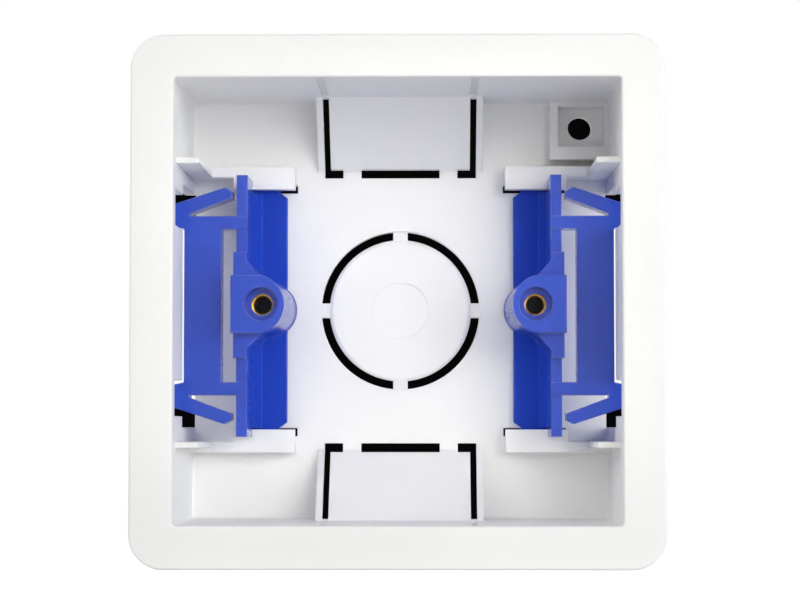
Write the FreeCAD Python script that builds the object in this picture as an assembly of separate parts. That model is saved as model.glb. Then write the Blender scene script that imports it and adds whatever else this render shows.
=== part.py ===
import FreeCAD, Part
import os

V = FreeCAD.Vector

# Single-gang drywall back box, in millimetres
# X runs to the right and Z up, seen from the room; Y runs into the wall
# The origin is the centre of the flange's rear face, which lies on the wall
# Depths are counted from the flange's front face

# Box: driving dimensions
FLANGE_SIDE = 84.0
FLANGE_CORNER_R = 5.3
FLANGE_THICKNESS = 1.8
FLANGE_EDGE_R = 0.4
MOUTH_EDGE_R = 0.4
CAVITY_SIDE = 70.4
CAVITY_CORNER_R = 0.6
BODY_CORNER_R = 2.4
BODY_REAR_R = 1.0
BASE_EDGE_R = 0.5
WALL = 1.6
BASE = 2.0
OVERALL_DEPTH = 35.0

# Faceplate screws: spacing with the lugs pushed out, and the way a lug is pushed
SCREW_CENTRES = 60.3
LUG_TRAVEL = 8.05

# Clearances
RUN_GAP = 0.3
STOP_GAP = 0.1
TONGUE_GAP = 0.2
WINDOW_REACH = 0.4
ARM_GAP = 0.5
FIN_GAP = 0.8
PRONG_GAP = 1.5

# Planes that follow from the dimensions above, and how far a cut runs past a face
WALL_IN = CAVITY_SIDE / 2
WALL_OUT = WALL_IN + WALL
BASE_IN = OVERALL_DEPTH - BASE
AXIS_X = SCREW_CENTRES / 2 - LUG_TRAVEL
PAST = 1.0
SAME_PLACE = 1e-6

# Round knockout in the base
DISC_R = 12.0
DISC_EDGE_R = 0.7
DISC_SLOT = 1.4
DISC_TAB_W = 2.45
DISC_TAB_STEP = 0.3
DISC_MARK_R = 4.7
DISC_MARK_DEPTH = 0.1

# Sloped knockouts at the top and bottom rear edges
SLOPE_HALF_W = 13.95
SLOPE_RISE = 11.7
SLOPE_RUN = 9.6
SLOPE_THICKNESS = 1.6
CHEEK = 0.7
SLOT_MARGIN = 1.1
SLOT_W = 1.05
TOE_SLOT_BELOW = 1.0
TOE_SLOT_ABOVE = 0.5
TOE_CORNER_W = 3.15
TOE_TAB_W = 3.05
WALL_TAB = 0.2
GROOVE_DEPTH = 0.4
GROOVE_FRONT = 1.5
SLOPE_TOE_Z = WALL_IN - SLOPE_RISE
SLOPE_TOP_DEPTH = BASE_IN - SLOPE_RUN
SLOT_OUT = SLOPE_HALF_W - SLOT_MARGIN
SLOT_IN = SLOT_OUT - SLOT_W
TOE_TAB_OUT = SLOT_OUT - TOE_CORNER_W
TOE_TAB_IN = TOE_TAB_OUT - TOE_TAB_W

# Lug: boss, barrel and bores
BOSS_FRONT = 10.8
BOSS_LENGTH = 6.2
BOSS_HALF_H = 4.65
BOSS_NOSE = 3.7
BOSS_NOSE_R = 4.77
BARREL_FRONT_R = 3.7
BARREL_REAR_R = 4.6
COUNTERBORE_R = 2.7
COUNTERBORE_DEPTH = 2.6
COLLAR_R = 1.75
COLLAR_THICKNESS = 0.6
BOSS_FLAT = WALL_IN - STOP_GAP - LUG_TRAVEL

# Threaded insert
INSERT_R = 2.5
INSERT_LENGTH = 8.0
INSERT_BORE_R = 1.45
INSERT_CHAMFER = 0.25
INSERT_FRONT = BOSS_FRONT + COUNTERBORE_DEPTH + COLLAR_THICKNESS
INSERT_REAR = INSERT_FRONT + INSERT_LENGTH

# Lug: blade, gussets and foot
BLADE_SETBACK = 0.65
BLADE_THICKNESS = 1.8
BLADE_STEP_Z = 19.85
BLADE_END = 1.5
GUSSET_SETBACK = 3.2
GUSSET_PROUD = 0.35
GUSSET_HALF_H = 8.6
GUSSET_SLOPE = 1.3
GUSSET_TIP = 0.3
FOOT_THICKNESS = 2.0
FOOT_BRACE = 1.35
FOOT_REACH = 3.0
FOOT_HOOK = 1.15
FOOT_CORNER = 0.9
FOOT_TAB_GAP = 0.4
BLADE_OUT = WALL_IN - BLADE_SETBACK - LUG_TRAVEL
BLADE_IN = BLADE_OUT - BLADE_THICKNESS
BLADE_HALF_H = BLADE_STEP_Z + BLADE_END
GUSSET_FRONT = BOSS_FRONT + GUSSET_SETBACK
FOOT_REAR = BASE_IN - RUN_GAP
FOOT_FRONT = FOOT_REAR - FOOT_THICKNESS
FOOT_X_IN = AXIS_X - FOOT_REACH
FOOT_HALF_H = BLADE_STEP_Z + FOOT_HOOK

# Lips on the base that hook over the lug's foot, and the rail behind them
LIP_INNER = 4.45
LIP_OUTER = 5.9
LIP_THICKNESS = 2.4
RAIL_THICKNESS = 1.9
LIP_WINDOW_MARGIN = 0.22
LIP_X_IN = AXIS_X - LIP_INNER
LIP_X_OUT = AXIS_X + LIP_OUTER
LIP_Z_IN = BLADE_STEP_Z + RUN_GAP
LIP_UNDERSIDE = FOOT_FRONT - RUN_GAP
LIP_FRONT = LIP_UNDERSIDE - LIP_THICKNESS
LIP_BACK_Z = FOOT_HALF_H + RUN_GAP
BLADE_STEP_DEPTH = LIP_FRONT - RUN_GAP
FOOT_TAB_X = LIP_X_OUT + FOOT_TAB_GAP - LUG_TRAVEL

# Fins that guide the lug's blade along the side walls
FIN_THICKNESS = 0.95
FIN_WIDTH = 3.6
FIN_FRONT = 5.0
FIN_Z = BLADE_HALF_H + FIN_GAP
RAIL_Z_OUT = FIN_Z + RAIL_THICKNESS

# Lug: wing with its bars, prongs and spring arms
TONGUE_END = 15.4
WING_THICKNESS = 4.5
WING_SETBACK = 0.2
WING_HALF_H = 14.6
BAR_HEIGHT = 2.1
PRONG_STEP = 0.4
ARM_ROOT_Z = 16.55
ARM_TOP_Z = 19.3
ARM_LENGTH = 8.4
ARM_TIP_DROP = 0.65
ARM_TIP_THICKNESS = 1.05
ARM_TIP_GAP = 0.7
ARM_SLIT_REACH = 2.7
ARM_SLIT_STEP = 0.4
WING_FRONT = TONGUE_END + RUN_GAP
WING_REAR = WING_FRONT + WING_THICKNESS
BLADE_FRONT = WING_FRONT + RUN_GAP
WING_X_IN = WALL_OUT + TONGUE_GAP - LUG_TRAVEL
WING_X_OUT = WALL_IN - WING_SETBACK
BAR_Z = WING_HALF_H - BAR_HEIGHT

# Lug openings in the side walls: a wide window and two narrow slots around a tongue
SLOT_FRONT = 3.5
WINDOW_HALF_H = ARM_TOP_Z + ARM_GAP
SLOT_HALF_H = ARM_ROOT_Z + PRONG_GAP
TONGUE_HALF_H = BAR_Z - RUN_GAP

# Corner pad with a recess and a screw hole, measured from the walls
PAD_WIDTH = 9.9
PAD_DROP = 9.9
PAD_HEIGHT = 3.2
PAD_FLOOR = 0.5
PAD_RIM_INNER = 1.4
PAD_RIM_LOWER = 2.35
PAD_RIM_OUTER = 0.8
PAD_RIM_UPPER = 0.9
PAD_HOLE_IN = 4.75
PAD_HOLE_DOWN = 4.25
PAD_HOLE_R = 2.0


def at_depth(depth):
    """Y of a plane that lies the given depth behind the flange's front face."""
    return depth - FLANGE_THICKNESS


def block(x, depth, z):
    """Box between the pairs of limits along X, depth and Z."""
    corner = V(min(x), at_depth(min(depth)), min(z))
    return Part.makeBox(abs(x[1] - x[0]), abs(depth[1] - depth[0]), abs(z[1] - z[0]), corner)


def plate(outline, depth):
    """Plate with an outline of X and Z points, between two depths."""
    points = [V(x, at_depth(depth[0]), z) for x, z in outline]
    face = Part.Face(Part.makePolygon(points + points[:1]))
    return face.extrude(V(0, depth[1] - depth[0], 0))


def rod(x, z, radius, depth):
    """Round rod along the depth."""
    return Part.makeCylinder(radius, depth[1] - depth[0], V(x, at_depth(depth[0]), z), V(0, 1, 0))


def lies_along_depth(edge):
    """True for a straight edge along the depth."""
    run = edge.Vertexes[-1].Point - edge.Vertexes[0].Point
    return abs(run.x) + abs(run.z) < SAME_PLACE < abs(run.y)


def edges_at_depth(solid, depth):
    """Edges of a solid that lie in the plane at the given depth."""
    y = at_depth(depth)
    found = []
    for edge in solid.Edges:
        box = edge.BoundBox
        if max(abs(box.YMin - y), abs(box.YMax - y)) < SAME_PLACE:
            found.append(edge)
    return found


def rounded_block(half, depth, corner_r, end_r, end_depth):
    """Square block with rounded corners, and with the edges of one end rounded."""
    solid = block((-half, half), depth, (-half, half))
    solid = solid.makeFillet(corner_r, [e for e in solid.Edges if lies_along_depth(e)])
    return solid.makeFillet(end_r, edges_at_depth(solid, end_depth))


def on_both_sides(solid, normal):
    """A solid together with its mirror image across the plane with this normal."""
    return [solid, solid.mirror(V(0, 0, 0), normal)]


def shell():
    """Flange and hollow body, with a rounded mouth."""
    flange = rounded_block(FLANGE_SIDE / 2, (0, FLANGE_THICKNESS), FLANGE_CORNER_R, FLANGE_EDGE_R, 0)
    body = rounded_block(WALL_OUT, (FLANGE_EDGE_R, OVERALL_DEPTH), BODY_CORNER_R, BODY_REAR_R, OVERALL_DEPTH)
    cavity = rounded_block(WALL_IN, (-PAST, BASE_IN), CAVITY_CORNER_R, BASE_EDGE_R, BASE_IN)
    hollow = flange.fuse(body).cut(cavity)
    inner = []
    for edge in edges_at_depth(hollow, 0):
        box = edge.BoundBox
        if max(abs(box.XMin), abs(box.XMax), abs(box.ZMin), abs(box.ZMax)) < WALL_OUT:
            inner.append(edge)
    return hollow.makeFillet(MOUTH_EDGE_R, inner)


def slope_line(z, offset):
    """Depth of the sloped panel's front face at a height, moved back by an offset normal to it."""
    length = (SLOPE_RISE * SLOPE_RISE + SLOPE_RUN * SLOPE_RUN) ** 0.5
    return BASE_IN - (z - SLOPE_TOE_Z) * SLOPE_RUN / SLOPE_RISE + offset * length / SLOPE_RISE


def slope_prism(half_w, z, offset, rear):
    """Space behind the sloped panel's plane, between two heights and down to the rear."""
    outline = [(slope_line(z[0], offset), z[0]), (slope_line(z[1], offset), z[1]), (rear, z[1]), (rear, z[0])]
    points = [V(-half_w, at_depth(depth), height) for depth, height in outline]
    face = Part.Face(Part.makePolygon(points + points[:1]))
    return face.extrude(V(2 * half_w, 0, 0))


def add_sloped_knockouts(box):
    """Sloped panels with their cheeks, the notches behind them, their slots and the wall grooves."""
    rear = OVERALL_DEPTH + PAST
    panels = slope_prism(SLOPE_HALF_W, (SLOPE_TOE_Z, WALL_IN + WALL / 2), 0, BASE_IN + BASE / 2)
    notch = slope_prism(SLOPE_HALF_W - CHEEK, (SLOPE_TOE_Z, WALL_OUT + PAST), SLOPE_THICKNESS, rear)
    cuts = on_both_sides(notch, V(0, 0, 1))
    toe_z = (SLOPE_TOE_Z - TOE_SLOT_BELOW, SLOPE_TOE_Z + TOE_SLOT_ABOVE)
    slots = []
    for side in (-1, 1):
        across = (side * SLOT_IN, side * SLOT_OUT)
        toe = (side * TOE_TAB_OUT, side * SLOT_OUT)
        slots.append(block(across, (SLOPE_TOP_DEPTH - PAST, rear), (toe_z[0], WALL_IN - WALL_TAB)))
        slots.append(block(toe, (SLOPE_TOP_DEPTH, rear), toe_z))
        groove_z = (WALL_IN - PAST, WALL_IN + GROOVE_DEPTH)
        slots.append(block(across, (GROOVE_FRONT, SLOPE_TOP_DEPTH - PAST), groove_z))
    middle = (-TOE_TAB_IN, TOE_TAB_IN)
    slots.append(block(middle, (SLOPE_TOP_DEPTH, rear), toe_z))
    for slot in slots:
        cuts.extend(on_both_sides(slot, V(0, 0, 1)))
    return box.fuse(on_both_sides(panels, V(0, 0, 1))).cut(cuts)


def add_round_knockout(box):
    """Disc in a ring slot, held by four tabs."""
    rim_r = DISC_R + DISC_SLOT
    box = box.cut(rod(0, 0, rim_r, (BASE_IN - PAST, OVERALL_DEPTH + PAST)))
    disc = rod(0, 0, DISC_R, (BASE_IN, OVERALL_DEPTH))
    disc = disc.makeFillet(DISC_EDGE_R, edges_at_depth(disc, BASE_IN))
    disc = disc.cut(rod(0, 0, DISC_MARK_R, (BASE_IN - PAST, BASE_IN + DISC_MARK_DEPTH)))
    reach = rim_r + DISC_SLOT
    start = DISC_R - DISC_SLOT
    half_tab = DISC_TAB_W / 2
    tab_depth = (BASE_IN + DISC_TAB_STEP, OVERALL_DEPTH)
    tabs = []
    for side in (-1, 1):
        along = (side * start, side * reach)
        tabs.append(block(along, tab_depth, (-half_tab, half_tab)))
        tabs.append(block((-half_tab, half_tab), tab_depth, along))
    return box.fuse([disc] + tabs)


def add_lug_guides(box):
    """Windows and slots in the side walls, with the fins, rails and lips that guide each lug."""
    wall = (WALL_IN - PAST, WALL_OUT + PAST)
    open_x = (WALL_IN - WINDOW_REACH, WALL_OUT + PAST)
    cuts = [block(open_x, (TONGUE_END, OVERALL_DEPTH + PAST), (-WINDOW_HALF_H, WINDOW_HALF_H))]
    adds = []
    for side in (-1, 1):
        slot = (side * TONGUE_HALF_H, side * SLOT_HALF_H)
        cuts.append(block(wall, (SLOT_FRONT, TONGUE_END + PAST), slot))
        fin_x = (WALL_IN - FIN_WIDTH, WALL_IN + WALL / 2)
        adds.append(block(fin_x, (FIN_FRONT, BASE_IN), (side * FIN_Z, side * (FIN_Z + FIN_THICKNESS))))
        rail_x = (LIP_X_IN, WALL_IN + WALL / 2)
        adds.append(block(rail_x, (LIP_FRONT, BASE_IN + BASE / 2), (side * FIN_Z, side * RAIL_Z_OUT)))
        lip_x = (LIP_X_IN, LIP_X_OUT)
        adds.append(block(lip_x, (LIP_FRONT, LIP_UNDERSIDE), (side * LIP_Z_IN, side * RAIL_Z_OUT)))
        back_z = (side * LIP_BACK_Z, side * RAIL_Z_OUT)
        adds.append(block(lip_x, (LIP_FRONT, BASE_IN + BASE / 2), back_z))
        window_x = (LIP_X_IN - LIP_WINDOW_MARGIN, LIP_X_OUT)
        window_z = (side * (LIP_Z_IN - LIP_WINDOW_MARGIN), side * LIP_BACK_Z)
        cuts.append(block(window_x, (LIP_UNDERSIDE, OVERALL_DEPTH + PAST), window_z))
    both_adds = []
    both_cuts = []
    for solid in adds:
        both_adds.extend(on_both_sides(solid, V(1, 0, 0)))
    for solid in cuts:
        both_cuts.extend(on_both_sides(solid, V(1, 0, 0)))
    return box.fuse(both_adds).cut(both_cuts)


def add_corner_pad(box):
    """Raised square pad in the upper right corner, with a recess and a screw hole."""
    end = WALL_IN + WALL / 2
    inner = WALL_IN - PAD_WIDTH
    lower = WALL_IN - PAD_DROP
    front = BASE_IN - PAD_HEIGHT
    pad = block((inner, end), (front, BASE_IN + BASE / 2), (lower, end))
    recess_x = (inner + PAD_RIM_INNER, WALL_IN - PAD_RIM_OUTER)
    recess_z = (lower + PAD_RIM_LOWER, WALL_IN - PAD_RIM_UPPER)
    recess = block(recess_x, (front - PAST, BASE_IN - PAD_FLOOR), recess_z)
    hole = rod(WALL_IN - PAD_HOLE_IN, WALL_IN - PAD_HOLE_DOWN, PAD_HOLE_R, (front, OVERALL_DEPTH + PAST))
    return box.fuse(pad).cut([recess, hole])


def back_box():
    """The white moulding in one piece."""
    box = shell()
    box = add_sloped_knockouts(box)
    box = add_round_knockout(box)
    box = add_lug_guides(box)
    box = add_corner_pad(box)
    return box.removeSplitter()


def lug_boss():
    """Square-backed boss with a round nose, on a barrel that runs back to the base."""
    centre_x = AXIS_X - BOSS_NOSE + BOSS_NOSE_R
    depth = (BOSS_FRONT, BOSS_FRONT + BOSS_LENGTH)
    nose = rod(centre_x, 0, BOSS_NOSE_R, depth)
    nose = nose.common(block((centre_x - BOSS_NOSE_R, centre_x), depth, (-BOSS_HALF_H, BOSS_HALF_H)))
    back = block((centre_x, BOSS_FLAT), depth, (-BOSS_HALF_H, BOSS_HALF_H))
    start = V(AXIS_X, at_depth(BOSS_FRONT), 0)
    barrel = Part.makeCone(BARREL_FRONT_R, BARREL_REAR_R, FOOT_REAR - BOSS_FRONT, start, V(0, 1, 0))
    return back.fuse([nose, barrel])


def lug_blade():
    """Upright blade, its gussets at the boss and its foot."""
    full = block((BLADE_IN, BLADE_OUT), (BLADE_FRONT, FOOT_REAR), (-BLADE_STEP_Z, BLADE_STEP_Z))
    ends = block((BLADE_IN, BLADE_OUT), (BLADE_FRONT, BLADE_STEP_DEPTH), (-BLADE_HALF_H, BLADE_HALF_H))
    proud = BLADE_OUT + GUSSET_PROUD
    root_z = GUSSET_HALF_H - GUSSET_SLOPE
    half = [
        (AXIS_X + GUSSET_TIP, BOSS_HALF_H),
        (BLADE_IN, root_z),
        (BLADE_IN, GUSSET_HALF_H),
        (proud, GUSSET_HALF_H),
    ]
    gusset = plate(half + [(x, -z) for x, z in reversed(half)], (GUSSET_FRONT, FOOT_REAR))
    corner_z = BLADE_STEP_Z - FOOT_CORNER
    half = [
        (FOOT_X_IN, corner_z),
        (FOOT_TAB_X, BLADE_STEP_Z),
        (FOOT_TAB_X, FOOT_HALF_H),
        (BLADE_OUT, FOOT_HALF_H),
    ]
    foot = plate(half + [(x, -z) for x, z in reversed(half)], (FOOT_FRONT, FOOT_REAR))
    corner = [(BLADE_IN, FOOT_FRONT - FOOT_BRACE), (BLADE_IN - FOOT_BRACE, FOOT_FRONT), (BLADE_IN, FOOT_FRONT)]
    points = [V(x, at_depth(depth), -BLADE_STEP_Z) for x, depth in corner]
    brace = Part.Face(Part.makePolygon(points + points[:1])).extrude(V(0, 0, 2 * BLADE_STEP_Z))
    return full.fuse([ends, gusset, foot, brace])


def lug_wing():
    """Wing that grips behind the board, with bars to the blade and springy arms."""
    depth = (WING_FRONT, WING_REAR)
    wing = block((WING_X_IN, WING_X_OUT), depth, (-WING_HALF_H, WING_HALF_H))
    bar = block((BLADE_IN, WING_X_IN), depth, (BAR_Z, WING_HALF_H))
    prong = [(WING_X_OUT, BAR_Z), (WALL_OUT, BAR_Z + PRONG_STEP), (WALL_OUT, ARM_ROOT_Z)]
    tip_x = BLADE_OUT + ARM_TIP_GAP
    tip_z = ARM_TOP_Z - ARM_TIP_DROP
    arm = [(WALL_OUT - ARM_LENGTH, ARM_TOP_Z), (tip_x, tip_z), (tip_x, tip_z - ARM_TIP_THICKNESS)]
    slit_x = WALL_OUT - ARM_SLIT_REACH
    slit = [(slit_x, WING_HALF_H + ARM_SLIT_STEP), (slit_x, BAR_Z)]
    arms = plate(prong + arm + slit, depth)
    return wing.fuse(on_both_sides(bar, V(0, 0, 1)) + on_both_sides(arms, V(0, 0, 1)))


def lug():
    """Right-hand lug in one piece, drilled for its insert."""
    solid = lug_boss().fuse([lug_blade(), lug_wing()])
    collar_front = BOSS_FRONT + COUNTERBORE_DEPTH
    counterbore = rod(AXIS_X, 0, COUNTERBORE_R, (BOSS_FRONT - PAST, collar_front))
    collar = rod(AXIS_X, 0, COLLAR_R, (BOSS_FRONT, INSERT_FRONT + PAST))
    pocket = rod(AXIS_X, 0, INSERT_R, (INSERT_FRONT, FOOT_REAR + PAST))
    return solid.cut([counterbore, collar, pocket]).removeSplitter()


def insert():
    """Right-hand threaded insert, a tube with chamfered ends."""
    tube = rod(AXIS_X, 0, INSERT_R, (INSERT_FRONT, INSERT_REAR))
    tube = tube.cut(rod(AXIS_X, 0, INSERT_BORE_R, (INSERT_FRONT - PAST, INSERT_REAR + PAST)))
    rims = edges_at_depth(tube, INSERT_REAR)
    return tube.makeChamfer(INSERT_CHAMFER, rims)


def main():
    """Build every piece and write one file for each."""
    os.makedirs("parts", exist_ok=True)
    lugs = on_both_sides(lug(), V(1, 0, 0))
    inserts = on_both_sides(insert(), V(1, 0, 0))
    pieces = {
        "back_box": back_box(),
        "lug_right": lugs[0],
        "lug_left": lugs[1],
        "insert_right": inserts[0],
        "insert_left": inserts[1],
    }
    for node, shape in pieces.items():
        solid = shape.Solids[0]
        print(node, len(shape.Solids), shape.isValid(), round(shape.Volume, 1), solid.BoundBox)
        shape.exportStep("parts/" + node + ".step")


main()
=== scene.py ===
"""Single-gang drywall back box: its finishes, threaded inserts, camera and studio."""
import logging
import math
from dataclasses import dataclass, field
from enum import Enum
from typing import Any, Optional, Sequence, Union

import bpy
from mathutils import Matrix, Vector


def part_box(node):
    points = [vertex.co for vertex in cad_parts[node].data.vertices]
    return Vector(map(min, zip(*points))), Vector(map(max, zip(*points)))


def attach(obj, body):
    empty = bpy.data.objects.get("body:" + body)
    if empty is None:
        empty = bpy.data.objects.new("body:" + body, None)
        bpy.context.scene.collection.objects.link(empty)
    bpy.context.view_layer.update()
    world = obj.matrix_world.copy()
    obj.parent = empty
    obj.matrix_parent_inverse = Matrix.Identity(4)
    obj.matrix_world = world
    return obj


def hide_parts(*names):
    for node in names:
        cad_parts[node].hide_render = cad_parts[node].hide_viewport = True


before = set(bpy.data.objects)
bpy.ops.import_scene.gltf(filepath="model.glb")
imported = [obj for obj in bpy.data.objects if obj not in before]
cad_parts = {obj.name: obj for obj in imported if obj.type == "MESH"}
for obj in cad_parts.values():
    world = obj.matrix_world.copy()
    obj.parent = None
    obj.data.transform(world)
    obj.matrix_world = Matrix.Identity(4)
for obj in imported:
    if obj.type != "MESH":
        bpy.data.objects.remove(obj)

LOG = logging.getLogger("back_box")
MM = 0.001

# A circle of radius 1 with three corners is a triangle of this height and side
TRIANGLE_CORNERS = 3
TRIANGLE_HEIGHT = 1.5
TRIANGLE_SIDE = math.sqrt(3)

Pair = tuple[float, float]
Triple = tuple[float, float, float]
Key = Union[int, str]


class Side(Enum):
    """The two lugs, seen from the room, with the direction in which each is pushed."""

    LEFT = -1
    RIGHT = 1

    @property
    def word(self) -> str:
        """The side as it stands in the names of nodes and bodies."""
        return self.name.lower()


class Level(Enum):
    """The upper and the lower half of the box, with the direction of each along the height."""

    UPPER = 1
    LOWER = -1

    @property
    def word(self) -> str:
        """The level as it stands in the names of cards."""
        return self.name.lower()


class Value:
    """One number or colour over a surface, whose arithmetic adds Math nodes."""

    def __init__(self, shading: "Shading", socket: bpy.types.NodeSocket) -> None:
        """Keep the tree and the output socket."""
        self.shading = shading
        self.socket = socket

    def _math(self, operation: str, first: "Operand", second: "Operand") -> "Value":
        """Add one Math node.

        Args:
            operation: what the node does.
            first: its upper operand.
            second: its lower operand.

        Returns:
            The node's result.
        """
        return self.shading.node("ShaderNodeMath", {"operation": operation}, {0: first, 1: second})

    def __add__(self, other: "Operand") -> "Value":
        """Sum with something on the right."""
        return self._math("ADD", self, other)

    def __radd__(self, other: "Operand") -> "Value":
        """Sum with something on the left."""
        return self._math("ADD", other, self)

    def __sub__(self, other: "Operand") -> "Value":
        """Difference to something on the right."""
        return self._math("SUBTRACT", self, other)

    def __rsub__(self, other: "Operand") -> "Value":
        """Difference to something on the left."""
        return self._math("SUBTRACT", other, self)

    def __mul__(self, other: "Operand") -> "Value":
        """Product with something on the right."""
        return self._math("MULTIPLY", self, other)

    def __rmul__(self, other: "Operand") -> "Value":
        """Product with something on the left."""
        return self._math("MULTIPLY", other, self)

    def between(self, low: float, high: float) -> "Value":
        """Rise smoothly from 0 at low to 1 at high.

        Args:
            low: where the rise starts.
            high: where it ends.

        Returns:
            The eased value.
        """
        settings = {"interpolation_type": "SMOOTHSTEP"}
        inputs = {"Value": self, "From Min": low, "From Max": high}
        return self.shading.node("ShaderNodeMapRange", settings, inputs)


Operand = Union[Value, int, float]
Tint = Union[Value, Triple]


class Shading:
    """The node tree of one material or of the world, filled from Python."""

    def __init__(self, tree: bpy.types.NodeTree, output: str) -> None:
        """Empty the tree and add its output.

        Args:
            tree: the tree to fill.
            output: the type of its output node.
        """
        self.tree = tree
        tree.nodes.clear()
        self.output = tree.nodes.new(output)

    @classmethod
    def of_material(cls, name: str) -> tuple["Shading", bpy.types.Material]:
        """Make a material with an empty tree.

        Args:
            name: the material's name.

        Returns:
            The tree and the material.
        """
        material = bpy.data.materials.new(name)
        material.use_nodes = True
        return cls(material.node_tree, "ShaderNodeOutputMaterial"), material

    @staticmethod
    def _socket(sockets: Any, key: Key) -> bpy.types.NodeSocket:
        """Find a socket by its index, identifier or name.

        Args:
            sockets: a node's inputs or outputs.
            key: the index, identifier or name.

        Returns:
            The socket.
        """
        if isinstance(key, int):
            return sockets[key]
        for socket in sockets:
            if socket.identifier == key:
                return socket
        return sockets[key]

    def node(
        self,
        kind: str,
        settings: Optional[dict[str, Any]] = None,
        inputs: Optional[dict[Key, Any]] = None,
        output: Key = 0,
    ) -> Value:
        """Add any node, with its settings first and then its sockets.

        Args:
            kind: the node's type.
            settings: its properties.
            inputs: values or links of its sockets.
            output: the socket to hand back.

        Returns:
            The output, ready for more arithmetic.
        """
        made = self.tree.nodes.new(kind)
        for word, setting in (settings or {}).items():
            setattr(made, word, setting)
        for key, value in (inputs or {}).items():
            socket = self._socket(made.inputs, key)
            if isinstance(value, Value):
                self.tree.links.new(value.socket, socket)
            else:
                socket.default_value = value
        return Value(self, self._socket(made.outputs, output))

    def colours(self, factor: Operand, low: Tint, high: Tint) -> Value:
        """Go from one colour to another.

        Args:
            factor: 0 for the first colour, 1 for the second.
            low: the first colour.
            high: the second colour.

        Returns:
            The mixed colour.
        """
        settings = {"data_type": "RGBA"}
        inputs = {"Factor_Float": factor, "A_Color": opaque(low), "B_Color": opaque(high)}
        return self.node("ShaderNodeMix", settings, inputs, "Result_Color")

    def noise(self, place: Value, size_mm: float, detail: float = 2.0) -> Value:
        """Cloudy noise from 0 to 1.

        Args:
            place: the coordinates it lies on.
            size_mm: the width of one cloud.
            detail: how many finer layers it has.

        Returns:
            The noise.
        """
        inputs = {"Vector": place, "Scale": 1 / (size_mm * MM), "Detail": detail}
        return self.node("ShaderNodeTexNoise", None, inputs)

    def seen(self) -> Value:
        """Find the rays that show a surface to the camera, straight, by reflection or through glass.

        Returns:
            1 for such a ray and 0 for any other.
        """
        straight = self.node("ShaderNodeLightPath", output="Is Camera Ray")
        mirrored = self.node("ShaderNodeLightPath", output="Is Glossy Ray")
        through = self.node("ShaderNodeLightPath", output="Is Transmission Ray")
        return straight + mirrored + through

    def close(self, surface: Value) -> None:
        """Join a shader to the output."""
        self.tree.links.new(surface.socket, self.output.inputs["Surface"])


def opaque(colour: Tint) -> Union[Value, tuple[float, float, float, float]]:
    """Give a plain colour its alpha, and leave a linked one as it is.

    Args:
        colour: three numbers, or a value of the tree.

    Returns:
        Four numbers, or the same value.
    """
    return colour if isinstance(colour, Value) else (*colour, 1.0)


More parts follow.
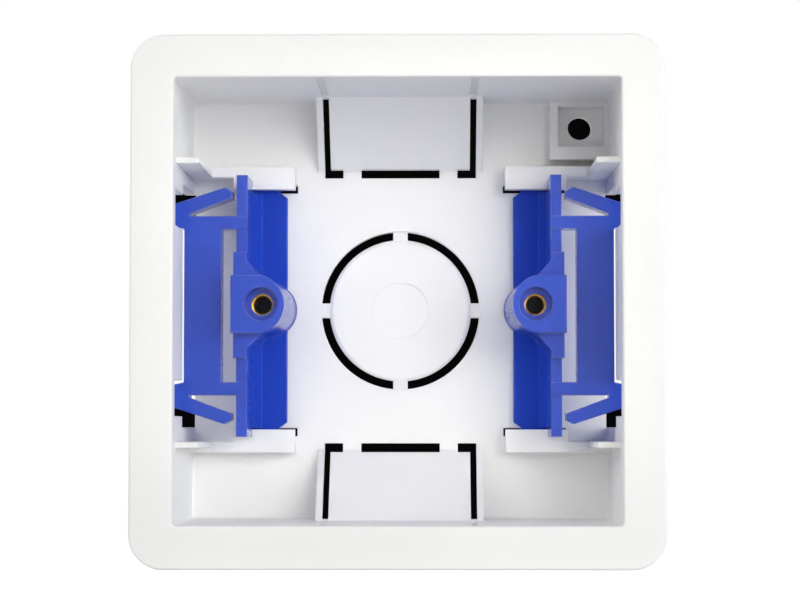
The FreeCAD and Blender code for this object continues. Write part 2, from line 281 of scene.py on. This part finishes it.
@dataclass(frozen=True)
class MouldedPlastic:
    """Injection-moulded plastic: tool grain, draw lines along the depth, softened edges, and edges made paler
    partly by wear and partly by a painted highlight.

    Attributes:
        edge_wear_and_highlight_share: how far an edge goes to its paler colour, which is part wear and part
            painted highlight.
        turn_range: turn of the softened normal at which an edge starts and is full.
        rough_shares: weights of the patches, the draw lines and the grain in the roughness.
        height_shares: weights of the grain and the draw lines in the bump.
        shine_to_mm: depth behind the wall's surface to which the clear gloss reaches.
    """

    name: str
    colour: Triple
    cloud_colour: Triple
    # Paler colour of the edges and its share: part wear, part painted highlight
    edge_wear_and_highlight_colour: Triple
    edge_wear_and_highlight_share: float
    smooth: float
    rough: float
    grain_mm: float
    grain_depth_mm: float
    draw_line_mm: float
    draw_length_mm: float
    edge_mm: float
    edge_samples: int = 6
    turn_range: Pair = (0.015, 0.2)
    cloud_mm: float = 22.0
    cloud_range: Pair = (0.35, 0.7)
    patch_mm: float = 5.0
    patch_range: Pair = (0.3, 0.7)
    rough_shares: Triple = (0.45, 0.35, 0.2)
    rough_range: Pair = (0.3, 0.7)
    height_shares: Pair = (0.7, 0.3)
    gloss: float = 0.5
    shine: float = 0.0
    shine_rough: float = 0.2
    shine_to_mm: float = 0.0
    shine_fade_mm: float = 2.0

    def material(self) -> bpy.types.Material:
        """Make the material.

        Returns:
            The finished material.
        """
        shading, material = Shading.of_material(self.name)
        place = shading.node("ShaderNodeTexCoord", output="Object")
        soft = shading.node("ShaderNodeBevel", {"samples": self.edge_samples}, {"Radius": self.edge_mm * MM})
        plain = shading.node("ShaderNodeNewGeometry", output="Normal")
        settings = {"operation": "DOT_PRODUCT"}
        together = shading.node("ShaderNodeVectorMath", settings, {0: soft, 1: plain}, "Value")
        edge = (1 - together).between(*self.turn_range)
        clouds = shading.noise(place, self.cloud_mm, detail=3.0)
        patches = shading.noise(place, self.patch_mm, detail=4.0)
        grain = shading.noise(place, self.grain_mm)
        stretch = (1 / self.draw_line_mm, 1 / self.draw_length_mm, 1 / self.draw_line_mm)
        drawn = shading.node("ShaderNodeMapping", None, {"Vector": place, "Scale": stretch})
        lines = shading.noise(drawn, size_mm=1.0)
        body = shading.colours(clouds.between(*self.cloud_range), self.colour, self.cloud_colour)
        # Edges go paler: part wear in random patches, part painted highlight standing in for light caught by
        # the rounded edges
        worn_and_highlit_edge = edge * patches.between(*self.patch_range) * self.edge_wear_and_highlight_share
        colour = shading.colours(worn_and_highlit_edge, body, self.edge_wear_and_highlight_colour)
        by_patch, by_line, by_grain = self.rough_shares
        share = by_patch * patches + by_line * lines + by_grain * grain
        roughness = self.smooth + (self.rough - self.smooth) * share.between(*self.rough_range)
        grain_share, line_share = self.height_shares
        height = grain_share * grain + line_share * lines
        bumped = {"Height": height, "Distance": self.grain_depth_mm * MM, "Strength": 1.0, "Normal": soft}
        normal = shading.node("ShaderNodeBump", None, bumped)
        surface = {"Base Color": colour, "Roughness": roughness, "Normal": normal}
        surface["Specular IOR Level"] = self.gloss
        if self.shine:
            depth = shading.node("ShaderNodeSeparateXYZ", None, {"Vector": place}, "Y")
            rear = depth.between(self.shine_to_mm * MM, (self.shine_to_mm + self.shine_fade_mm) * MM)
            surface.update({"Coat Weight": self.shine * (1 - rear), "Coat Roughness": self.shine_rough})
        shading.close(shading.node("ShaderNodeBsdfPrincipled", None, surface))
        return material


@dataclass(frozen=True)
class TurnedBrass:
    """Brass turned on a lathe: fine tool marks across the axis, and a little tarnish."""

    name: str
    colour: Triple
    tarnish: Triple
    smooth: float
    rough: float
    mark_mm: float
    mark_depth_mm: float
    mark_bend: float = 1.5
    stain_mm: float = 0.9
    stain_range: Pair = (0.45, 0.75)

    def material(self) -> bpy.types.Material:
        """Make the material.

        Returns:
            The finished material.
        """
        shading, material = Shading.of_material(self.name)
        place = shading.node("ShaderNodeTexCoord", output="Object")
        settings = {"wave_type": "BANDS", "bands_direction": "Y"}
        bands = {"Vector": place, "Scale": 1 / (self.mark_mm * MM * math.tau)}
        bands.update({"Distortion": self.mark_bend, "Detail": 2.0})
        marks = shading.node("ShaderNodeTexWave", settings, bands, "Fac")
        stain = shading.noise(place, self.stain_mm, detail=3.0)
        colour = shading.colours(stain.between(*self.stain_range), self.colour, self.tarnish)
        roughness = self.smooth + (self.rough - self.smooth) * (0.5 * stain + 0.5 * marks)
        bumped = {"Height": marks, "Distance": self.mark_depth_mm * MM, "Strength": 1.0}
        normal = shading.node("ShaderNodeBump", None, bumped)
        surface = {"Base Color": colour, "Roughness": roughness, "Normal": normal, "Metallic": 1.0}
        shading.close(shading.node("ShaderNodeBsdfPrincipled", None, surface))
        return material


WHITE_MOULDING = MouldedPlastic(
    name="white_moulding",
    colour=(0.945, 0.945, 0.937),
    cloud_colour=(0.928, 0.93, 0.925),
    # Paler edges: part wear, part painted highlight
    edge_wear_and_highlight_colour=(0.955, 0.955, 0.95),
    edge_wear_and_highlight_share=0.6,
    smooth=0.34,
    rough=0.52,
    grain_mm=0.22,
    grain_depth_mm=0.004,
    draw_line_mm=0.35,
    draw_length_mm=14.0,
    edge_mm=0.3,
)

BLUE_MOULDING = MouldedPlastic(
    name="blue_moulding",
    colour=(0.013, 0.060, 0.52),
    cloud_colour=(0.011, 0.053, 0.475),
    # Paler edges: part wear, part painted highlight
    edge_wear_and_highlight_colour=(0.20, 0.26, 0.78),
    edge_wear_and_highlight_share=0.85,
    smooth=0.34,
    rough=0.46,
    grain_mm=0.3,
    grain_depth_mm=0.001,
    draw_line_mm=0.4,
    draw_length_mm=9.0,
    edge_mm=0.42,
    gloss=0.12,
    shine=0.9,
    shine_rough=0.15,
    shine_to_mm=26.5,
)

INSERT_BRASS = TurnedBrass(
    name="insert_brass",
    colour=(0.93, 0.77, 0.43),
    tarnish=(0.80, 0.60, 0.28),
    smooth=0.18,
    rough=0.38,
    mark_mm=0.12,
    mark_depth_mm=0.004,
)


def dress(piece: bpy.types.Object, material: bpy.types.Material) -> None:
    """Give a piece its finish.

    Args:
        piece: the object to dress.
        material: its material.
    """
    if not piece.material_slots:
        piece.data.materials.append(material)
    for slot in piece.material_slots:
        slot.material = material


def start_afresh() -> None:
    """Leave edit mode and deselect everything."""
    if bpy.context.object is not None and bpy.context.object.mode != "OBJECT":
        bpy.ops.object.mode_set(mode="OBJECT")
    bpy.ops.object.select_all(action="DESELECT")


@dataclass
class BoxMoulding:
    """The white moulding in one piece: flange, walls and base with its knockouts."""

    node: str = "back_box"
    finish: MouldedPlastic = WHITE_MOULDING

    def dress(self) -> None:
        """Finish the node as white moulded plastic."""
        dress(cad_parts[self.node], self.finish.material())
        LOG.info("%s: %s", self.node, self.finish.name)


@dataclass
class ThreadedInsert:
    """A brass insert: a grooved sleeve with a screw thread inside."""

    node: str = "insert_right"
    outer_r: float = 2.5 * MM
    root_r: float = 1.74 * MM
    crest_r: float = 1.45 * MM
    pitch: float = 0.6 * MM
    chamfer: float = 0.25 * MM
    groove_width: float = 1.2 * MM
    groove_depth: float = 0.25 * MM
    thread_share: float = 0.86
    thread_start: float = 1.1 * MM
    thread_sunk: float = 0.06 * MM
    facets: int = 64
    smooth_angle: float = math.radians(35)
    finish: TurnedBrass = INSERT_BRASS
    axis_x: float = field(init=False)
    front_y: float = field(init=False)
    length: float = field(init=False)

    def __post_init__(self) -> None:
        """Take the place and the length from the solid insert."""
        low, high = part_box(self.node)
        self.axis_x = (low.x + high.x) / 2
        self.front_y = low.y
        self.length = high.y - low.y

    def _profile(self) -> list[Pair]:
        """Outline of the sleeve, from the front of the bore over the outside and back.

        Returns:
            Pairs of a radius and a distance behind the front face.
        """
        middle = self.length / 2
        half = self.groove_width / 2
        floor = self.outer_r - self.groove_depth
        return [
            (self.root_r, self.chamfer),
            (self.root_r + self.chamfer, 0.0),
            (self.outer_r, 0.0),
            (self.outer_r, middle - half),
            (floor, middle - half + self.groove_depth),
            (floor, middle + half - self.groove_depth),
            (self.outer_r, middle + half),
            (self.outer_r, self.length - self.chamfer),
            (self.outer_r - self.chamfer, self.length),
            (self.root_r + self.chamfer, self.length),
            (self.root_r, self.length - self.chamfer),
        ]

    def _sleeve(self) -> bpy.types.Object:
        """Model the sleeve by drawing one ring along its outline.

        Returns:
            The sleeve.
        """
        start_afresh()
        rings = self._profile()
        radius, behind = rings[0]
        centre = Vector((self.axis_x, self.front_y + behind, 0))
        upright = {"location": centre, "rotation": (math.pi / 2, 0, 0)}
        bpy.ops.mesh.primitive_circle_add(vertices=self.facets, radius=radius, **upright)
        sleeve = bpy.context.object
        bpy.ops.object.transform_apply(location=True, rotation=True, scale=True)
        bpy.ops.object.mode_set(mode="EDIT")
        bpy.ops.mesh.select_all(action="SELECT")
        for next_radius, next_behind in rings[1:]:
            bpy.ops.mesh.extrude_edges_indiv()
            bpy.ops.transform.translate(value=(0, next_behind - behind, 0))
            centre.y = self.front_y + next_behind
            factor = next_radius / radius
            bpy.ops.transform.resize(value=(factor, 1, factor), center_override=centre)
            radius, behind = next_radius, next_behind
        bpy.ops.mesh.select_all(action="DESELECT")
        bpy.ops.mesh.select_non_manifold()
        bpy.ops.mesh.bridge_edge_loops()
        bpy.ops.mesh.select_all(action="SELECT")
        bpy.ops.mesh.normals_make_consistent(inside=False)
        bpy.ops.object.mode_set(mode="OBJECT")
        return sleeve

    def _thread(self) -> bpy.types.Object:
        """Model the thread as a ridge wound along the bore.

        Returns:
            The ridge.
        """
        start_afresh()
        turns = int((self.length - self.thread_start - self.chamfer) / self.pitch) - 1
        origin = Vector((self.axis_x, self.front_y + self.thread_start, 0))
        foot_r = self.root_r + self.thread_sunk
        height = foot_r - self.crest_r
        bpy.ops.mesh.primitive_circle_add(vertices=TRIANGLE_CORNERS, radius=1.0, location=origin)
        ridge = bpy.context.object
        bpy.ops.object.mode_set(mode="EDIT")
        bpy.ops.mesh.select_all(action="SELECT")
        bpy.ops.transform.rotate(value=math.pi / 2, orient_axis="Z", center_override=origin)
        width = self.pitch * self.thread_share / TRIANGLE_SIDE
        bpy.ops.transform.resize(value=(height / TRIANGLE_HEIGHT, width, 1), center_override=origin)
        tip = min(vertex.co.x for vertex in self._points(ridge))
        bpy.ops.transform.translate(value=(self.crest_r - tip, 0, 0))
        bpy.ops.object.mode_set(mode="OBJECT")
        bpy.ops.object.modifier_add(type="SCREW")
        wound = ridge.modifiers[-1]
        wound.axis = "Y"
        wound.angle = math.tau
        wound.screw_offset = self.pitch
        wound.iterations = turns
        wound.steps = self.facets
        wound.render_steps = self.facets
        bpy.ops.object.modifier_apply(modifier=wound.name)
        bpy.ops.object.transform_apply(location=True, rotation=True, scale=True)
        bpy.ops.object.mode_set(mode="EDIT")
        bpy.ops.mesh.select_all(action="SELECT")
        bpy.ops.mesh.fill_holes(sides=TRIANGLE_CORNERS)
        bpy.ops.mesh.normals_make_consistent(inside=False)
        bpy.ops.object.mode_set(mode="OBJECT")
        return ridge

    @staticmethod
    def _points(piece: bpy.types.Object) -> Sequence[bpy.types.MeshVertex]:
        """Vertices of a piece as they stand in edit mode."""
        piece.update_from_editmode()
        return piece.data.vertices

    def build(self) -> bpy.types.Object:
        """Model the right-hand insert.

        Returns:
            The insert, in place.
        """
        thread = self._thread()
        sleeve = self._sleeve()
        start_afresh()
        thread.select_set(True)
        sleeve.select_set(True)
        bpy.context.view_layer.objects.active = sleeve
        bpy.ops.object.join()
        bpy.ops.object.shade_smooth_by_angle(angle=self.smooth_angle)
        return sleeve

    def build_pair(self) -> dict[Side, bpy.types.Object]:
        """Model one insert and copy it to the other lug.

        Returns:
            The insert of each side.
        """
        right = self.build()
        start_afresh()
        right.select_set(True)
        bpy.context.view_layer.objects.active = right
        bpy.ops.object.duplicate(linked=False)
        left = bpy.context.object
        bpy.ops.transform.translate(value=(-2 * self.axis_x, 0, 0))
        bpy.ops.object.transform_apply(location=True, rotation=True, scale=True)
        pair = {Side.LEFT: left, Side.RIGHT: right}
        for side, insert in pair.items():
            insert.name = f"threaded_insert_{side.word}"
        return pair


@dataclass
class RetainingLugs:
    """Both blue lugs, each with its brass insert."""

    finish: MouldedPlastic = BLUE_MOULDING
    insert: ThreadedInsert = field(default_factory=ThreadedInsert)

    def build(self) -> None:
        """Model the inserts, dress all and tie each insert to its lug."""
        plastic = self.finish.material()
        brass = self.insert.finish.material()
        for side, piece in self.insert.build_pair().items():
            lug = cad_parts[f"lug_{side.word}"]
            dress(lug, plastic)
            LOG.info("%s: %s", lug.name, plastic.name)
            dress(piece, brass)
            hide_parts(f"insert_{side.word}")
            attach(piece, f"{side.word}_lug")
            LOG.info("%s: %s, %d faces", piece.name, brass.name, len(piece.data.polygons))


@dataclass(frozen=True)
class SoftLamp:
    """A square lamp that looks at the box, placed by its angles from straight in front."""

    name: str
    right: float
    up: float
    width: float
    share: float
    colour: Triple
    distance: float = 0.62
    grid: Optional[float] = None
    aim: Triple = (0.0, 10.0 * MM, 0.0)

    def _power(self) -> float:
        """Work out the power that lights a white face at the box to the lamp's share of white.

        Returns:
            The power in watts.
        """
        if self.grid is None:
            return math.pi**2 * self.distance**2 * self.share
        return math.pi * (self.width + self.distance * self.grid / 2) ** 2 * self.share

    def light(self) -> None:
        """Hang the lamp."""
        right, up = math.radians(self.right), math.radians(self.up)
        towards = Vector((-math.sin(right) * math.cos(up), math.cos(right) * math.cos(up), -math.sin(up)))
        data = bpy.data.lights.new(self.name, "AREA")
        data.size = self.width
        data.color = self.colour
        data.energy = self._power()
        if self.grid is not None:
            data.spread = self.grid
        lamp = bpy.data.objects.new(self.name, data)
        lamp.location = Vector(self.aim) - self.distance * towards
        lamp.rotation_euler = towards.to_track_quat("-Z", "Y").to_euler()
        bpy.context.collection.objects.link(lamp)
        LOG.info("%s: %.4f W", self.name, data.energy)


@dataclass(frozen=True)
class LampBank:
    """A bank of small lamps that light the inside, each with a grid that keeps it off the flange."""

    sides: tuple[Pair, ...] = ((10, 15), (18, 9), (24, 6), (36, 8))
    top: Pair = (0, 24)
    share: float = 0.21
    colour: Triple = (1.0, 0.98, 0.90)
    width: float = 0.06
    distance: float = 0.5
    grid: float = math.radians(3.5)

    def light(self) -> None:
        """Hang the lamps from left to right."""
        mirrored = [(-right, up) for right, up in reversed(self.sides)]
        places = [*mirrored, self.top, *self.sides]
        each = {"width": self.width, "share": self.share / len(places), "colour": self.colour}
        for number, (right, up) in enumerate(places, start=1):
            lamp = SoftLamp(f"inner_lamp_{number}", right, up, distance=self.distance, grid=self.grid, **each)
            lamp.light()


@dataclass(frozen=True)
class PaintedShadeCard:
    """One small black card of painted shade: its place, the way it faces, its width and its height."""

    name: str
    place: Triple
    facing: Triple
    size: Pair

    def hang(self, material: bpy.types.Material) -> None:
        """Hang the card behind its opening.

        Args:
            material: its black finish, a painted shade.
        """
        start_afresh()
        turned = Vector(self.facing).to_track_quat("Z", "Y").to_euler()
        bpy.ops.mesh.primitive_plane_add(size=1.0, location=self.place, rotation=turned)
        card = bpy.context.object
        card.name = self.name
        card.scale = (*self.size, 1)
        bpy.ops.object.transform_apply(location=True, rotation=True, scale=True)
        dress(card, material)


@dataclass(frozen=True)
class PaintedShadeCards:
    """Black cards close behind the openings of the box: painted shade for the dark seen through them, black
    only when seen from inside it.
    """

    node: str = "back_box"
    # Black of the painted shade behind the openings
    colour: Triple = (0.002, 0.002, 0.002)
    gap: float = 0.05 * MM
    body_half: float = 36.8 * MM
    base_size: Pair = (69.2 * MM, 48.4 * MM)
    pad_place: Pair = (30.45 * MM, 30.95 * MM)
    pad_size: Pair = (9.0 * MM, 9.0 * MM)
    window_place: Pair = (36.15 * MM, 18.0 * MM)
    window_size: Pair = (3.1 * MM, 4.4 * MM)
    end_place: Pair = (22.7 * MM, 17.7 * MM)
    end_size: Pair = (14.6 * MM, 3.8 * MM)
    slope_place: Pair = (27.82 * MM, 30.24 * MM)
    slope_facing: Pair = (-11.7, -9.6)
    slope_size: Pair = (27.8 * MM, 16.0 * MM)

    def _cards(self) -> list[PaintedShadeCard]:
        """Find the place, facing and size of a card for each opening.

        Returns:
            The cards.
        """
        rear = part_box(self.node)[1].y + self.gap
        outside = self.body_half + self.gap
        ahead = (0.0, -1.0, 0.0)
        pad_x, pad_z = self.pad_place
        end_y, end_z = self.end_place
        window_x, window_z = self.window_place
        slope_y, slope_z = self.slope_place
        facing_y, facing_z = self.slope_facing
        cards = [
            PaintedShadeCard("shade_card_base", (0.0, rear, 0.0), ahead, self.base_size),
            PaintedShadeCard("shade_card_pad", (pad_x, rear, pad_z), ahead, self.pad_size),
        ]
        for level in Level:
            up = level.value
            place, facing = (0.0, slope_y, up * slope_z), (0.0, facing_y, up * facing_z)
            cards.append(PaintedShadeCard(f"card_slope_{level.word}", place, facing, self.slope_size))
            for side in Side:
                corner = f"{side.word}_{level.word}"
                place, facing = (side.value * outside, end_y, up * end_z), (-side.value, 0.0, 0.0)
                cards.append(PaintedShadeCard(f"card_end_{corner}", place, facing, self.end_size))
                place = (side.value * window_x, rear, up * window_z)
                cards.append(PaintedShadeCard(f"card_window_{corner}", place, ahead, self.window_size))
        return cards

    def _material(self) -> bpy.types.Material:
        """Make the painted-shade finish: black to rays that see the card from inside the box, and clear to
        all other light.

        Returns:
            The material of the cards.
        """
        shading, material = Shading.of_material("painted_shade_card")
        inside = 1 - shading.node("ShaderNodeNewGeometry", output="Backfacing")
        clear = shading.node("ShaderNodeBsdfTransparent")
        # Painted shade: a black emission where the openings show only shadow behind the box
        painted_shade = shading.node("ShaderNodeEmission", None, {"Color": opaque(self.colour)})
        ends = {0: shading.seen() * inside, 1: clear, 2: painted_shade}
        shading.close(shading.node("ShaderNodeMixShader", None, ends))
        return material

    def hang(self) -> None:
        """Hang all the cards."""
        material = self._material()
        for card in self._cards():
            card.hang(material)


@dataclass(frozen=True)
class Viewpoint:
    """Where the photograph was taken from, the way it looks, and its lens."""

    place: Triple = (6.08 * MM, -388.76 * MM, -20.23 * MM)
    left: float = math.radians(0.838)
    up: float = math.radians(3.0)
    focal_px: float = 2478.6
    picture_px: float = 800.0
    sensor_mm: float = 36.0
    near: float = 10.0 * MM

    def stand_camera(self) -> None:
        """Place the camera there."""
        level = math.cos(self.up)
        ahead = (-math.sin(self.left) * level, math.cos(self.left) * level, math.sin(self.up))
        data = bpy.data.cameras.new("camera")
        data.lens = self.focal_px / self.picture_px * self.sensor_mm
        data.clip_start = self.near
        camera = bpy.data.objects.new("camera", data)
        camera.location = self.place
        camera.rotation_euler = Vector(ahead).to_track_quat("-Z", "Y").to_euler()
        bpy.context.collection.objects.link(camera)
        bpy.context.scene.camera = camera


@dataclass
class Studio:
    """White surroundings, pale floor, black cards of painted shade behind the openings, camera and soft
    lamps.
    """

    node: str = "back_box"
    floor_gap: float = 0.05 * MM
    floor_side: float = 4.0
    floor_colour: Triple = (0.86, 0.86, 0.86)
    floor_lift: float = 0.52
    floor_near: float = 0.05
    floor_far: float = 0.11
    sky_colour: Triple = (0.95, 0.98, 1.0)
    sky_share: float = 0.1
    white: Triple = (1.0, 1.0, 1.0)
    cards: PaintedShadeCards = PaintedShadeCards()
    viewpoint: Viewpoint = Viewpoint()
    lamps: tuple[SoftLamp, ...] = (
        SoftLamp("key_lamp", right=28, up=8, width=0.32, share=0.345, colour=(1.0, 1.0, 0.99)),
        SoftLamp("side_lamp", right=58, up=8, width=0.34, share=0.39, colour=(0.99, 0.995, 1.0)),
        SoftLamp("fill_lamp", right=-56, up=34, width=0.4, share=0.415, colour=(1.0, 0.98, 0.935)),
        SoftLamp("rear_lamp_right", right=150, up=32, width=0.4, share=0.3, colour=(1.0, 1.0, 1.0)),
        SoftLamp("rear_lamp_left", right=-150, up=32, width=0.4, share=0.3, colour=(1.0, 1.0, 1.0)),
    )
    bank: LampBank = LampBank()

    def surround(self) -> None:
        """Light the box from all round, with white behind it for the eye and for reflections."""
        world = bpy.data.worlds.new("studio")
        world.use_nodes = True
        bpy.context.scene.world = world
        shading = Shading(world.node_tree, "ShaderNodeOutputWorld")
        sky = {"Color": opaque(self.sky_colour), "Strength": self.sky_share}
        white = {"Color": opaque(self.white), "Strength": 1.0}
        ends = {0: shading.seen(), 1: shading.node("ShaderNodeBackground", None, sky)}
        ends[2] = shading.node("ShaderNodeBackground", None, white)
        shading.close(shading.node("ShaderNodeMixShader", None, ends))

    def lay_floor(self) -> None:
        """Lay the floor, which keeps the shadow near the box and runs out to white."""
        start_afresh()
        floor_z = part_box(self.node)[0].z - self.floor_gap
        bpy.ops.mesh.primitive_plane_add(size=self.floor_side, location=(0, 0, floor_z))
        floor = bpy.context.object
        floor.name = "floor"
        shading, material = Shading.of_material("pale_floor")
        place = shading.node("ShaderNodeTexCoord", output="Object")
        away = shading.node("ShaderNodeVectorMath", {"operation": "LENGTH"}, {0: place}, "Value")
        seen = shading.seen()
        matt = shading.node("ShaderNodeBsdfDiffuse", None, {"Color": opaque(self.floor_colour)})
        lifted = shading.node("ShaderNodeEmission", None, {"Strength": seen * self.floor_lift})
        near = shading.node("ShaderNodeAddShader", None, {0: matt, 1: lifted})
        far = shading.node("ShaderNodeEmission", None, {"Strength": 1.0})
        edge = seen * away.between(self.floor_near, self.floor_far)
        shading.close(shading.node("ShaderNodeMixShader", None, {0: edge, 1: near, 2: far}))
        dress(floor, material)

    def build(self) -> None:
        """Set up the whole studio."""
        bpy.context.scene.view_settings.view_transform = "Standard"
        self.surround()
        self.lay_floor()
        self.cards.hang()
        self.viewpoint.stand_camera()
        for lamp in self.lamps:
            lamp.light()
        self.bank.light()


def main() -> None:
    """Dress the box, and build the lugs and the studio."""
    logging.basicConfig(level=logging.INFO, format="%(message)s")
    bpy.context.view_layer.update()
    BoxMoulding().dress()
    RetainingLugs().build()
    Studio().build()
    start_afresh()


if __name__ == "__main__":
    main()
